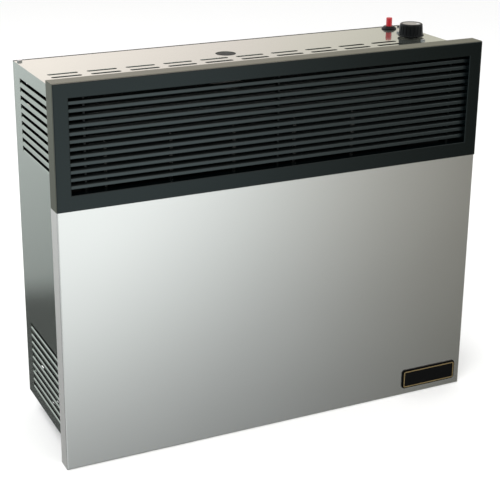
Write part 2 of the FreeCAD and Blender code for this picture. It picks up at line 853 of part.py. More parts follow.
def make_chamber_body():
    body = keep(body_at("chamber_body"))
    edges = ("chamber_left", "chamber_bottom", "chamber_right", "chamber_top")
    pan = drawing(body, "pan", "front", "chamber_back")
    rectangle(pan, *edges)
    pad(body, pan, "chamber_depth")
    hollow = drawing(body, "pan_hollow", "front", "chamber_back + chamber_sheet")
    inner_left = "chamber_left + chamber_sheet"
    inner_right = "chamber_right - chamber_sheet"
    rectangle(hollow, inner_left, "chamber_floor", inner_right, "chamber_top - chamber_sheet")
    pocket(body, hollow, "chamber_depth", ahead=True)
    flange = drawing(body, "pan_flange", "front", "chamber_back + chamber_depth - chamber_sheet")
    low = ("chamber_left - chamber_flange", "chamber_bottom - chamber_flange")
    high = ("chamber_right + chamber_flange", "chamber_top + chamber_flange")
    rectangle(flange, *low, *high)
    rectangle(flange, *edges)
    pad(body, flange, "chamber_sheet")
    flue = drawing(body, "flue_hole", "front")
    circle(flue, "chamber_centre", "vent_rise", "flue_bore")
    pocket(body, flue)
    intake = drawing(body, "air_inlet", "front")
    start = "chamber_centre - air_inlet_width / 2"
    end = "chamber_centre + air_inlet_width / 2"
    sill = "chamber_floor + air_inlet_rise"
    rectangle(intake, start, sill, end, f"{sill} + air_inlet_height")
    pocket(body, intake)
    sight = drawing(body, "sight_hole", "plan", "chamber_top")
    circle(sight, "sight_across", "-sight_back", "sight_radius")
    pocket(body, sight, "chamber_sheet")
    access = drawing(body, "access_hole", "side", "chamber_right")
    wide = "access_width / 2 - access_land"
    tall = "access_height / 2 - access_land"
    level = "chamber_bottom + access_rise"
    low = (f"-access_back - ({wide})", f"{level} - ({tall})")
    high = (f"-access_back + {wide}", f"{level} + {tall}")
    rectangle(access, *low, *high)
    pocket(body, access, "chamber_sheet")


def make_chamber_front():
    body = keep(body_at("chamber_front", y="chamber_mouth"))
    plate = drawing(body, "lid_plate", "front")
    left = "chamber_left - chamber_flange"
    right = "chamber_right + chamber_flange"
    rectangle(plate, left, "chamber_bottom - chamber_flange", right, "chamber_top + chamber_flange")
    pad(body, plate, "chamber_sheet")
    rib = drawing(body, "lid_rib", "front", "chamber_sheet")
    first = "chamber_centre - (rib_count - 1) / 2 * rib_pitch"
    low = (f"{first} - rib_width / 2", "chamber_bottom + rib_bottom_margin")
    high = (f"{first} + rib_width / 2", "chamber_top - rib_top_margin")
    rectangle(rib, *low, *high)
    bead = pad(body, rib, "rib_depth")
    bind(bead, "TaperAngle", "-rib_taper")
    row_of(body, "lid_ribs", [bead], (rib, ["H_Axis"]), "rib_pitch", "rib_count")


def make_chamber_feet():
    feet = []
    for side, name in ((-1, "left"), (1, "right")):
        centre = f"chamber_centre + {side} * foot_span / 2"
        start = f"{centre} - foot_width / 2"
        end = f"{centre} + foot_width / 2"
        rear = "-(chamber_back + chamber_depth / 2)"
        front = f"{rear} - foot_flange"
        web_front = f"{rear} - foot_sheet"
        sole = block(name + "_sole", (start, front, "floor_over"), (end, rear, "floor_over + foot_sheet"))
        web = block(name + "_web", (start, web_front, "floor_over"), (end, rear, "chamber_bottom"))
        under = "chamber_bottom - foot_sheet"
        shelf = block(name + "_shelf", (start, front, under), (end, rear, "chamber_bottom"))
        feet.append(joined(name + "_foot", [sole, web, shelf]))
    keep(grouped("chamber_feet", feet))


def make_air_drop():
    body = keep(body_at("air_drop"))
    left = "chamber_centre - drop_width / 2"
    right = "chamber_centre + drop_width / 2"
    low = "chamber_bottom + drop_foot"
    high = "vent_rise + drop_above"
    duct = drawing(body, "duct", "front", "chamber_back")
    rectangle(duct, left, low, right, high)
    pad(body, duct, "drop_depth", back=True)
    hollow = drawing(body, "duct_hollow", "front", "chamber_back")
    inner_left = f"{left} + chamber_sheet"
    inner_right = f"{right} - chamber_sheet"
    rectangle(hollow, inner_left, f"{low} + chamber_sheet", inner_right, f"{high} - chamber_sheet")
    pocket(body, hollow, "drop_depth - chamber_sheet")
    port = drawing(body, "duct_port", "front")
    circle(port, "chamber_centre", "vent_rise", "air_bore")
    pocket(body, port)


def make_vent():
    centre = ("chamber_centre", "0", "vent_rise")
    seat = "drop_rear"
    step = "drop_rear + vent_wall"
    brim = "air_radius + collar_flange"
    air = [("air_bore", seat), (brim, seat), (brim, step), ("air_radius", step)]
    air += [("air_radius", "air_reach"), ("air_bore", "air_reach")]
    keep(turned("air_collar", air, "y", *centre))
    inside = "air_radius + collar_play"
    seal = [(inside, step), (brim, step), (brim, "-casing_sheet"), (inside, "-casing_sheet")]
    keep(turned("collar_gasket", seal, "y", *centre))
    root = "-chamber_back"
    lip = "-chamber_back + vent_wall"
    flue_brim = "flue_radius + collar_flange"
    flue = [("flue_bore", root), (flue_brim, root), (flue_brim, lip), ("flue_radius", lip)]
    flue += [("flue_radius", "flue_reach"), ("flue_bore", "flue_reach")]
    keep(turned("flue_collar", flue, "y", *centre))


def make_sight():
    centre = ("sight_across", "-sight_back", "0")
    seat = ("sight_across", "-sight_back", "chamber_top")
    keep(rod("sight_glass", "z", seat, "glass_radius", "glass_thickness"))
    glass_top = "chamber_top + glass_thickness"
    clamp_top = f"{glass_top} + glass_clamp"
    bore = "glass_radius + glass_play"
    rim = f"{bore} + glass_rim"
    wall = "sight_radius + sight_wall"
    profile = [("sight_radius", glass_top), (bore, glass_top), (bore, "chamber_top"), (rim, "chamber_top")]
    profile += [(rim, clamp_top), (wall, clamp_top), (wall, "roof_under"), ("sight_radius", "roof_under")]
    keep(turned("sight_tube", profile, "z", *centre))


# Burner and pilot


def make_burner_tube():
    cone = "burner_length + burner_taper"
    neck = f"{cone} + throat_length"
    wall = [("0", "0"), ("0", "burner_radius"), ("burner_length", "burner_radius"), (cone, "burner_throat")]
    wall += [(neck, "burner_throat"), ("burner_total", "bell_radius")]
    wall += [("burner_total", "bell_radius - burner_wall")]
    wall += [(neck, "burner_throat - burner_wall"), (cone, "burner_throat - burner_wall")]
    wall += [("burner_length", "burner_radius - burner_wall"), ("burner_wall", "burner_radius - burner_wall")]
    wall += [("burner_wall", "0")]
    body = keep(turned("burner_tube", wall, "x", "burner_left", "-burner_back", "burner_level"))
    port = drawing(body, "burner_port", "plan")
    half = "port_length / 2"
    rectangle(port, "port_margin", f"-{half}", "port_margin + port_width", half)
    cut = pocket(body, port, "burner_radius + burner_wall", ahead=True)
    row_of(body, "burner_ports", [cut], (port, ["H_Axis"]), "port_pitch", "port_count")


def make_burner_saddles():
    saddles = []
    places_along = {
        "saddle_left": "burner_left + saddle_inset",
        "saddle_right": "burner_left + burner_length - saddle_inset",
    }
    wide = "burner_half"
    for name, along in places_along.items():
        low = (along, f"-burner_back - ({wide})", "chamber_floor")
        high = (f"{along} + saddle_sheet", f"-burner_back + {wide}", "burner_level - saddle_margin")
        plate = block(name + "_plate", low, high)
        start = (f"{along} - saddle_sheet", "-burner_back", "burner_level")
        cradle = rod(name + "_cradle", "x", start, "burner_radius + saddle_play", "3 * saddle_sheet")
        saddles.append(carved(name, plate, [cradle]))
    keep(grouped("burner_saddles", saddles))


def lead_lines():
    # Lines of the three leads that enter the chamber through the access plate.
    return {
        "pilot": "-pilot_back",
        "thermocouple": "-pilot_back + lead_pitch",
        "electrode": "-pilot_back - lead_pitch",
    }


def lead_slot(plate):
    half = "lead_pitch + igniter_lead_radius + lead_hole_play"
    rise = "igniter_lead_radius + lead_hole_play"
    low = (f"-pilot_back - ({half})", f"lead_level - ({rise})")
    high = (f"-pilot_back + {half}", f"lead_level + {rise}")
    rectangle(plate, *low, *high)


def make_burner_plate():
    body = keep(body_at("burner_plate", x="plate_inner"))
    plate = drawing(body, "access_plate", "side")
    half = "access_width / 2"
    level = "chamber_bottom + access_rise"
    low = (f"-access_back - {half}", f"{level} - access_height / 2")
    high = (f"-access_back + {half}", f"{level} + access_height / 2")
    rectangle(plate, *low, *high)
    circle(plate, "-burner_back", "burner_level", "holder_radius + close_play")
    lead_slot(plate)
    pad(body, plate, "access_sheet")


def make_orifice_holder():
    flange_end = "access_sheet + holder_flange_thickness"
    tail_end = f"{flange_end} + holder_tail"
    taper = "nose_length / 2"
    profile = [("-nose_length", "0"), ("-nose_length", "nose_radius"), (f"-{taper}", "holder_radius")]
    tail = "feed_radius + port_boss_wall / 2"
    profile += [("access_sheet", "holder_radius"), ("access_sheet", "holder_flange")]
    profile += [(flange_end, "holder_flange"), (flange_end, tail), (tail_end, tail), (tail_end, "0")]
    keep(turned("orifice_holder", profile, "x", "plate_inner", "-burner_back", "burner_level"))


def make_burner_feed_pipe():
    tail = "plate_outer + holder_flange_thickness + holder_tail"
    route = [("knob_across", "-burner_back", "valve_bottom"), ("knob_across", "-burner_back", "burner_level")]
    route += [(tail, "-burner_back", "burner_level")]
    keep(tube("burner_feed_pipe", route, "feed_radius", "feed_bend"))


def make_pilot_bracket():
    back_edge = "-pilot_back + shelf_width / 2"
    front_edge = "-pilot_back - shelf_width / 2"
    start = "pilot_across - shelf_length / 2"
    end = "pilot_across + shelf_length / 2"
    wall_start = f"{start} - shelf_sheet"
    under = "shelf_level - shelf_sheet"
    shelf = block("pilot_shelf", (wall_start, front_edge, under), (end, back_edge, "shelf_level"))
    base = (wall_start, front_edge, "chamber_floor")
    upright = block("pilot_upright", base, (start, back_edge, "shelf_level"))
    base = (f"{wall_start} - shelf_length / 2", front_edge, "chamber_floor")
    sole = block("pilot_sole", base, (start, back_edge, "chamber_floor + shelf_sheet"))
    bracket = joined("pilot_angle", [shelf, upright, sole])
    seats = {"pilot": "pilot_radius", "thermocouple": "probe_radius", "electrode": "electrode_radius"}
    holes = []
    for name, radius in seats.items():
        low = ("pilot_across", lead_lines()[name], f"{under} - shelf_sheet")
        holes.append(rod(name + "_seat", "z", low, f"{radius} + close_play", "3 * shelf_sheet"))
    keep(carved("pilot_bracket", bracket, holes))


def pilot_route(name):
    line = lead_lines()[name]
    return [("pilot_across", line, "lead_level"), ("pilot_across", line, "seat_level")]


def make_pilot_group():
    line = lead_lines()
    base = ("pilot_across", line["pilot"], "seat_level")
    stem = rod("pilot_stem", "z", base, "pilot_radius", "pilot_height")
    hood_base = ("pilot_across", line["pilot"], "seat_level + pilot_height")
    hood = rod("pilot_hood", "z", hood_base, "hood_radius", "hood_height")
    keep(joined("pilot_burner", [stem, hood]))
    base = ("pilot_across", line["electrode"], "seat_level")
    ceramic = rod("electrode_ceramic", "z", base, "electrode_radius", "electrode_height")
    tip_base = ("pilot_across", line["electrode"], "seat_level + electrode_height")
    tip = rod("electrode_wire", "z", tip_base, "electrode_tip", "electrode_tip_height")
    keep(joined("spark_electrode", [ceramic, tip]))
    down = ("small_lead_across", line["thermocouple"])
    probe_base = ("pilot_across", line["thermocouple"], "seat_level")
    probe = rod("thermocouple_probe", "z", probe_base, "probe_radius", "probe_height")
    route = [(*down, "valve_bottom"), (*down, "lead_level")] + pilot_route("thermocouple")
    lead = tube("thermocouple_lead", route, "thermocouple_lead_radius", "lead_bend")
    keep(joined("thermocouple", [probe, lead]))
    down = ("small_lead_across", line["pilot"])
    route = [(*down, "valve_bottom"), (*down, "lead_level")] + pilot_route("pilot")
    keep(tube("pilot_tube", route, "pilot_tube_radius", "lead_bend"))
    start = ("igniter_across", "-igniter_back")
    far = ("igniter_lead_across", line["electrode"])
    beside = ("igniter_lead_across", "-igniter_back", "igniter_turn_level - igniter_lead_slack")
    route = [(*start, "terminal_end"), (*start, "igniter_turn_level"), beside, (*far, "igniter_drop_level")]
    route += [(*far, "lead_level")] + pilot_route("electrode")
    keep(tube("igniter_lead", route, "igniter_lead_radius", "lead_bend"))


# Control compartment


def make_control_partition():
    body = keep(body_at("control_partition", x="partition_across"))
    plate = drawing(body, "partition_plate", "side")
    rectangle(plate, "casing_front + casing_sheet", "floor_over", "-casing_sheet", "roof_under")
    circle(plate, "-burner_back", "burner_level", "feed_radius + lead_hole_play")
    lead_slot(plate)
    pad(body, plate, "casing_sheet")


def valve_ports():
    return [
        ("knob_across", "-inlet_back", "inlet_pipe_radius"),
        ("knob_across", "-burner_back", "feed_radius"),
        ("small_lead_across", "-pilot_back", "pilot_tube_radius"),
        ("small_lead_across", "-pilot_back + lead_pitch", "thermocouple_lead_radius"),
        ("sensor_across", "-sensor_back", "capillary_radius"),
    ]


def make_gas_valve():
    body = keep(body_at("gas_valve"))
    casting = drawing(body, "valve_casting", "plan", "valve_top - valve_height")
    left = "knob_across - valve_width / 2"
    right = "knob_across + valve_width / 2"
    rectangle(casting, left, "-knob_back - valve_length / 2", right, "-knob_back + valve_length / 2")
    pad(body, casting, "valve_height")
    bevel_edges(body, "valve_corners", lambda edge: runs_along(edge, 2), "valve_bevel")
    boss = drawing(body, "valve_boss", "plan", "valve_top")
    circle(boss, "knob_across", "-knob_back", "valve_boss_radius")
    pad(body, boss, "valve_boss_height")
    for index, (across, along, radius) in enumerate(valve_ports()):
        port = drawing(body, f"valve_port_{index + 1}", "plan", "valve_top - valve_height")
        reach = f"({radius} + port_boss_wall)"
        low = (f"{across} - {reach}", f"{along} - {reach}")
        rectangle(port, *low, f"{across} + {reach}", f"{along} + {reach}")
        pad(body, port, "port_boss_height", back=True)
    bore = drawing(body, "plunger_bore", "plan", "plunger_top")
    circle(bore, "knob_across", "-knob_back", "plunger_radius + close_play")
    pocket(body, bore, "plunger_height + push_travel + bore_spare")


def make_valve_bracket():
    left = "knob_across - bracket_width / 2"
    right = "knob_across + bracket_width / 2"
    front = "-knob_back - valve_length / 2"
    rear = "-knob_back + valve_length / 2"
    under = "roof_under - bracket_sheet"
    bridge = block("bracket_bridge", (left, front, under), (right, rear, "roof_under"))
    legs = []
    seats = {"front": (front, f"{front} + bracket_sheet"), "rear": (f"{rear} - bracket_sheet", rear)}
    for name, (near, far) in seats.items():
        legs.append(block(f"bracket_{name}_leg", (left, near, "valve_top"), (right, far, "roof_under")))
    channel = joined("bracket_channel", [bridge] + legs)
    start = ("knob_across", "-knob_back", f"{under} - bracket_sheet")
    hole = rod("bracket_opening", "z", start, "bracket_hole", "3 * bracket_sheet")
    keep(carved("valve_bracket", channel, [hole]))


def make_gas_inlet():
    centre = ("knob_across", "-inlet_back", "0")
    bottom = "floor_level - inlet_below"
    thread_end = f"{bottom} + inlet_thread"
    flange_top = "floor_over + inlet_flange_thickness"
    profile = [("inlet_bore", bottom), ("inlet_radius", bottom), ("inlet_radius", "floor_over")]
    profile += [("inlet_flange", "floor_over"), ("inlet_flange", flange_top), ("inlet_radius", flange_top)]
    profile += [("inlet_radius", "inlet_top"), ("0", "inlet_top"), ("0", thread_end)]
    profile += [("inlet_bore", thread_end)]
    keep(turned("inlet_fitting", profile, "z", *centre))
    start = ("knob_across", "-inlet_back", "inlet_top")
    keep(rod("inlet_pipe", "z", start, "inlet_pipe_radius", "valve_bottom - (inlet_top)"))


def make_thermostat_sensor():
    foot = ("sensor_across", "-sensor_back", "bulb_bottom")
    bulb = rod("sensor_bulb", "z", foot, "bulb_radius", "bulb_length")
    head = ("sensor_across", "-sensor_back", "bulb_top")
    capillary = rod("sensor_capillary", "z", head, "capillary_radius", "valve_bottom - (bulb_top)")
    keep(joined("thermostat_sensor", [bulb, capillary]))
    clips = []
    starts = {
        "lower_bulb_clip": "bulb_bottom + clip_margin",
        "upper_bulb_clip": "bulb_top - clip_margin - clip_height",
    }
    reach = "bulb_radius + clip_wall"
    for name, low in starts.items():
        first = (f"sensor_across - ({reach})", f"-sensor_back - ({reach})", low)
        last = ("side_line - casing_sheet", f"-sensor_back + {reach}", f"{low} + clip_height")
        saddle = block(name + "_block", first, last)
        base = ("sensor_across", "-sensor_back", f"{low} - clip_height")
        bore = rod(name + "_bore", "z", base, "bulb_radius + close_play", "3 * clip_height")
        clips.append(carved(name, saddle, [bore]))
    keep(grouped("bulb_clips", clips))


def make_igniter():
    centre = ("igniter_across", "-igniter_back", "0")
    bore = "button_radius + close_play"
    bore_end = "button_bottom - button_travel - bore_spare"
    flange_low = "roof_under - barrel_flange_thickness"
    barrel = [(bore, "barrel_top"), ("barrel_radius", "barrel_top"), ("barrel_radius", "roof_under")]
    barrel += [("barrel_flange", "roof_under"), ("barrel_flange", flange_low), ("barrel_radius", flange_low)]
    barrel += [("barrel_radius", "barrel_bottom"), ("terminal_radius", "barrel_bottom")]
    barrel += [("terminal_radius", "terminal_end"), ("0", "terminal_end"), ("0", bore_end), (bore, bore_end)]
    keep(turned("igniter_body", barrel, "z", *centre))
    grip = "barrel_radius + close_play"
    hole = "button_radius + button_play"
    edge_top = "roof_level + nut_edge"
    nut = [(grip, "roof_level"), ("nut_radius", "roof_level"), ("nut_radius", edge_top)]
    nut += [("nut_top_radius", "nut_top"), (hole, "nut_top"), (hole, "barrel_top"), (grip, "barrel_top")]
    keep(turned("igniter_nut", nut, "z", *centre))
    shoulder = "button_radius - button_bevel"
    button = [("0", "button_bottom"), ("button_radius", "button_bottom")]
    button += [("button_radius", "button_top - button_bevel"), (shoulder, "button_top"), ("0", "button_top")]
    keep(turned("igniter_button", button, "z", *centre))


def make_control_knob():
    centre = ("knob_across", "-knob_back", "0")
    bore = "spindle_radius + close_play"
    skirt_top = "knob_bottom + knob_skirt_height"
    bevel_low = "knob_top - knob_bevel"
    dish_level = "knob_top - knob_dish"
    profile = [(bore, "knob_bottom"), ("knob_skirt", "knob_bottom"), ("knob_skirt", skirt_top)]
    profile += [("knob_radius", skirt_top), ("knob_top_radius", bevel_low)]
    profile += [("knob_top_radius - knob_bevel", "knob_top"), ("knob_dish_radius", "knob_top")]
    profile += [("knob_dish_radius", dish_level), ("0", dish_level)]
    profile += [("0", "spindle_top"), (bore, "spindle_top")]
    body = keep(turned("control_knob", profile, "z", *centre))
    flute = drawing(body, "knob_flute", "plan", skirt_top)
    rim = "knob_radius + flute_depth"
    half = "flute_width / 2"
    outline(flute, [("knob_radius - flute_depth", "0"), (rim, f"-{half}"), (rim, half)])
    cut = pocket(body, flute, "knob_height - knob_skirt_height - flute_top_margin", ahead=True)
    ring = body.newObject("PartDesign::PolarPattern", "knob_flutes")
    ring.Originals = [cut]
    ring.Axis = (flute, ["N_Axis"])
    ring.Angle = 360
    bind(ring, "Occurrences", "flute_count")
    body.Tip = ring
    base = ("knob_across", "-knob_back", dish_level)
    keep(rod("knob_cap", "z", base, "knob_dish_radius - cap_play", "cap_thickness"))


def make_spindle():
    centre = ("knob_across", "-knob_back", "0")
    collar_top = "plunger_top + spindle_collar_height"
    shaft = [("0", "plunger_bottom"), ("spindle_radius", "plunger_bottom"), ("spindle_radius", "plunger_top")]
    shaft += [("spindle_collar_radius", "plunger_top"), ("spindle_collar_radius", collar_top)]
    shaft += [("spindle_radius", collar_top), ("spindle_radius", "spindle_top"), ("0", "spindle_top")]
    keep(turned("valve_spindle", shaft, "z", *centre))
    bore = "spindle_radius + close_play"
    sleeve = [(bore, "plunger_bottom"), ("plunger_radius", "plunger_bottom")]
    sleeve += [("plunger_radius", "plunger_top"), (bore, "plunger_top")]
    keep(turned("valve_plunger", sleeve, "z", *centre))


def make_casing_screws():
    screws = []
    for index, (across, along) in enumerate(screw_places()):
        name = f"casing_screw_{index + 1}"
        head = put(doc.addObject("Part::Prism", name), across, along, "roof_level")
        head.Polygon = 6
        bind(head, "Circumradius", "screw_head_radius")
        bind(head, "Height", "screw_head_height")
        screws.append(head)
    keep(grouped("casing_screws", screws))


make_back_panel()
make_side_panel("left_side_panel", -1, "left_front_lip")
make_side_panel("right_side_panel", 1, "right_front_lip")
make_top_panel()
make_bottom_panel()
make_front_panel()
make_panel_clips()
make_grille_frame()
make_grille_slats()
make_grille_comb("grille_comb_left", "-mouth_width / 2 + comb_inset")
make_grille_comb("grille_comb_centre", "-comb_width / 2")
make_grille_comb("grille_comb_right", "mouth_width / 2 - comb_inset - comb_width")
make_badge("badge_backing", "backing_margin", "face_line", "backing_thickness")
make_badge("badge_plate", "0", "face_line - backing_thickness", "badge_thickness")
make_chamber_body()
make_chamber_front()
make_chamber_feet()
make_air_drop()
make_vent()
make_sight()
make_burner_tube()
make_burner_saddles()
make_burner_plate()
make_orifice_holder()
make_burner_feed_pipe()
make_pilot_bracket()
make_pilot_group()
make_control_partition()
make_gas_valve()
make_valve_bracket()
make_gas_inlet()
make_thermostat_sensor()
make_igniter()
make_control_knob()
make_spindle()
make_casing_screws()
doc.recompute()

for item in doc.Objects:
    if "Invalid" in item.State or "Error" in item.State:
        raise RuntimeError(f"{item.Label} did not build")
for item in nodes:
    if item.Shape.isNull() or not item.Shape.isValid():
        raise RuntimeError(f"{item.Label} has no sound shape")

os.makedirs("parts", exist_ok=True)
for item in nodes:
    item.Shape.exportStep(f"parts/{item.Label}.step")
print(len(nodes), "sub-parts written")
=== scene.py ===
import json
import math
import bpy
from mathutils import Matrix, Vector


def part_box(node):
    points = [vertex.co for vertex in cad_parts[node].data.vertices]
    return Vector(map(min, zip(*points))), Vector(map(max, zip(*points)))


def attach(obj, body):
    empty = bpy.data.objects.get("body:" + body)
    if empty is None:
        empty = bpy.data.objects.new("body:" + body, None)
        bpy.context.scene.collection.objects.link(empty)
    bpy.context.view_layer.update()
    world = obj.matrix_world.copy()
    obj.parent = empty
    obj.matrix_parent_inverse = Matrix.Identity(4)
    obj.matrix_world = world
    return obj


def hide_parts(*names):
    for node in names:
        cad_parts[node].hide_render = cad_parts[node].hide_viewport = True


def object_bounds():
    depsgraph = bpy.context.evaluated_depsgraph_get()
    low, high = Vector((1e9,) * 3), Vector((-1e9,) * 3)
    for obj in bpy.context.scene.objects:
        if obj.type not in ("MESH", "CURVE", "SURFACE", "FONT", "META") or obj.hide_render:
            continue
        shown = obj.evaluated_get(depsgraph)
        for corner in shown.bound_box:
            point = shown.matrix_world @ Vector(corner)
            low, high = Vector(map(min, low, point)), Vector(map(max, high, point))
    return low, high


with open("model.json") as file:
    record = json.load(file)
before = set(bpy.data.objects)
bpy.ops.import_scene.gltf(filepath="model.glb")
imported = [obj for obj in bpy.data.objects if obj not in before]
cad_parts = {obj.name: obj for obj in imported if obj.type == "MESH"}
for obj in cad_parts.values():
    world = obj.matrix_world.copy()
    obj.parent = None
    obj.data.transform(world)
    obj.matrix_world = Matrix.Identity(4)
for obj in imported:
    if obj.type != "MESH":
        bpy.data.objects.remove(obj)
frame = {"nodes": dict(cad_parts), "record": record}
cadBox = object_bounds()
scene = bpy.context.scene
nodes = frame["nodes"]
slotOf = {item["node"]: item["material_slot"] for item in frame["record"]["subparts"]}
print("frame loaded")


# shared shader groups

def makeGroup(name, inputs, outputs):
    group = bpy.data.node_groups.new(name, "ShaderNodeTree")
    for label, kind, value in inputs:
        socket = group.interface.new_socket(label, in_out="INPUT", socket_type="NodeSocket" + kind)
        socket.default_value = value
    for label, kind in outputs:
        group.interface.new_socket(label, in_out="OUTPUT", socket_type="NodeSocket" + kind)
    return group, group.nodes.new("NodeGroupInput"), group.nodes.new("NodeGroupOutput")


def feed(tree, value, socket):
    # a number or a colour is set, an output is linked
    if isinstance(value, (int, float, tuple)):
        socket.default_value = value
    else:
        tree.links.new(value, socket)


def mathNode(tree, operation, first, second=0):
    node = tree.nodes.new("ShaderNodeMath")
    node.operation = operation
    feed(tree, first, node.inputs[0])
    feed(tree, second, node.inputs[1])
    return node.outputs[0]


def mixColours(tree, factor, first, second):
    node = tree.nodes.new("ShaderNodeMix")
    node.data_type = "RGBA"
    firstColour, secondColour, mixedColour = 6, 7, 2  # the node's colour sockets
    feed(tree, factor, node.inputs["Factor"])
    feed(tree, first, node.inputs[firstColour])
    feed(tree, second, node.inputs[secondColour])
    return node.outputs[mixedColour]


skinInputs = [
    ("Colour", "Color", (0.5, 0.5, 0.5, 1)),
    ("Drift", "Float", 0.05),  # how far the colour wanders
    ("Grain", "Float", 300.0),  # grains per metre
    ("Rough", "Float", 0.4),
    ("Spread", "Float", 0.05),  # how far the roughness wanders
    ("Relief", "Float", 0.05),
]
skinOutputs = [("Colour", "Color"), ("Gloss", "Float"), ("Normal", "Vector")]
skinLook = {"detail": 3, "clouds": 5, "depth": 0.0006}  # clouds per metre, depth in metres


def makeSkin(name, stretch, cells):
    # fine grain, broad clouds and slight relief, with the same sockets for every skin
    group, given, result = makeGroup(name, skinInputs, skinOutputs)
    place = group.nodes.new("ShaderNodeTexCoord")
    mapping = group.nodes.new("ShaderNodeMapping")
    mapping.inputs["Scale"].default_value = stretch
    group.links.new(place.outputs["Object"], mapping.inputs["Vector"])
    if cells:
        grain = group.nodes.new("ShaderNodeTexVoronoi")
        grainValue = grain.outputs["Color"]
    else:
        grain = group.nodes.new("ShaderNodeTexNoise")
        grain.inputs["Detail"].default_value = skinLook["detail"]
        grainValue = grain.outputs["Fac"]
    group.links.new(mapping.outputs["Vector"], grain.inputs["Vector"])
    group.links.new(given.outputs["Grain"], grain.inputs["Scale"])
    clouds = group.nodes.new("ShaderNodeTexNoise")
    clouds.inputs["Scale"].default_value = skinLook["clouds"]
    group.links.new(place.outputs["Object"], clouds.inputs["Vector"])
    both = mathNode(group, "ADD", grainValue, clouds.outputs["Fac"])
    swing = mathNode(group, "SUBTRACT", both, 1.0)  # about zero on average
    shade = mathNode(group, "ADD", mathNode(group, "MULTIPLY", swing, given.outputs["Drift"]), 1.0)
    tone = group.nodes.new("ShaderNodeHueSaturation")
    group.links.new(given.outputs["Colour"], tone.inputs["Color"])
    group.links.new(shade, tone.inputs["Value"])
    group.links.new(tone.outputs["Color"], result.inputs["Colour"])
    gloss = mathNode(group, "MULTIPLY", swing, given.outputs["Spread"])
    group.links.new(mathNode(group, "ADD", gloss, given.outputs["Rough"]), result.inputs["Gloss"])
    bump = group.nodes.new("ShaderNodeBump")
    bump.inputs["Distance"].default_value = skinLook["depth"]
    group.links.new(given.outputs["Relief"], bump.inputs["Strength"])
    group.links.new(grainValue, bump.inputs["Height"])
    group.links.new(bump.outputs["Normal"], result.inputs["Normal"])
    return group


skins = {
    "smooth": makeSkin("smoothSkin", (1, 1, 1), False),
    "brushed": makeSkin("brushedSkin", (0.02, 1, 1), False),
    "spangled": makeSkin("spangledSkin", (1, 1, 1), True),
}
facingLimits = {"front": -0.5, "edge": -0.75, "bend": -0.3, "flank": 0.5, "level": 0.7}


def makeShade(name, kind, shade, limit=0):
    # paints shade and highlight into the colour of some faces of a piece, picked by where they look and
    # where they lie
    outputs = [("Colour", "Color"), ("Cover", "Float")]
    group, given, result = makeGroup(name, [("Colour", "Color", (0.5, 0.5, 0.5, 1))], outputs)
    place = group.nodes.new("ShaderNodeTexCoord")
    facing = group.nodes.new("ShaderNodeSeparateXYZ")
    group.links.new(place.outputs["Normal"], facing.inputs["Vector"])
    spot = group.nodes.new("ShaderNodeSeparateXYZ")
    group.links.new(place.outputs["Object"], spot.inputs["Vector"])
    dulled = None
    if kind == "front":  # faces that look at the room, as deep as the limit, get painted shade
        turnedOut = mathNode(group, "LESS_THAN", facing.outputs["Y"], facingLimits["front"])
        nearEnough = mathNode(group, "LESS_THAN", spot.outputs["Y"], limit)
        covers = mathNode(group, "MULTIPLY", turnedOut, nearEnough)
    elif kind == "edge":  # the panel's flange faces get a darker olive as painted shade above the limit and stay bare below it
        turnedAway = mathNode(group, "GREATER_THAN", facing.outputs["Y"], facingLimits["edge"])
        above = mathNode(group, "GREATER_THAN", spot.outputs["Z"], limit)
        covers = mathNode(group, "MULTIPLY", turnedAway, above)
        pastBend = mathNode(group, "GREATER_THAN", facing.outputs["Y"], facingLimits["bend"])
        dulled = mathNode(group, "MAXIMUM", pastBend, covers)
    elif kind == "flank":  # flanks of each chamber rib get a lighter colour as painted highlight
        sideways = mathNode(group, "ABSOLUTE", facing.outputs["X"])
        covers = mathNode(group, "GREATER_THAN", sideways, facingLimits["flank"])
    else:  # upper and lower faces of the slats get near-black painted shade
        upright = mathNode(group, "ABSOLUTE", facing.outputs["Z"])
        covers = mathNode(group, "GREATER_THAN", upright, facingLimits["level"])
    colour = mixColours(group, covers, given.outputs["Colour"], (*shade, 1))
    group.links.new(colour, result.inputs["Colour"])
    group.links.new(dulled or covers, result.inputs["Cover"])
    return group


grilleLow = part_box("grille_frame")[0][2]
shadeLooks = {
    # painted shade on the casing sheets that face the room behind the grille
    "paintedShadeBehindGrille": {"kind": "front", "shade": (0.01, 0.011, 0.011), "limit": -0.2},
    # painted shade on the inside of the back panel
    "paintedShadeInnerBack": {"kind": "front", "shade": (0.02, 0.021, 0.021), "limit": 0.1},
    # painted shade: a darker olive on the front panel's flange faces above the grille's bottom
    "paintedShadeFlanges": {"kind": "edge", "shade": (0.1, 0.104, 0.075), "limit": grilleLow},
    # painted highlight: a lighter colour on the flanks of each rib of the chamber front
    "paintedRibHighlight": {"kind": "flank", "shade": (0.3, 0.3, 0.285)},
    # painted shade: near-black on the upper and lower faces of the slats
    "paintedSlatShade": {"kind": "level", "shade": (0.0006, 0.001, 0.001)},
}
shades = {name: makeShade(name, **look) for name, look in shadeLooks.items()}


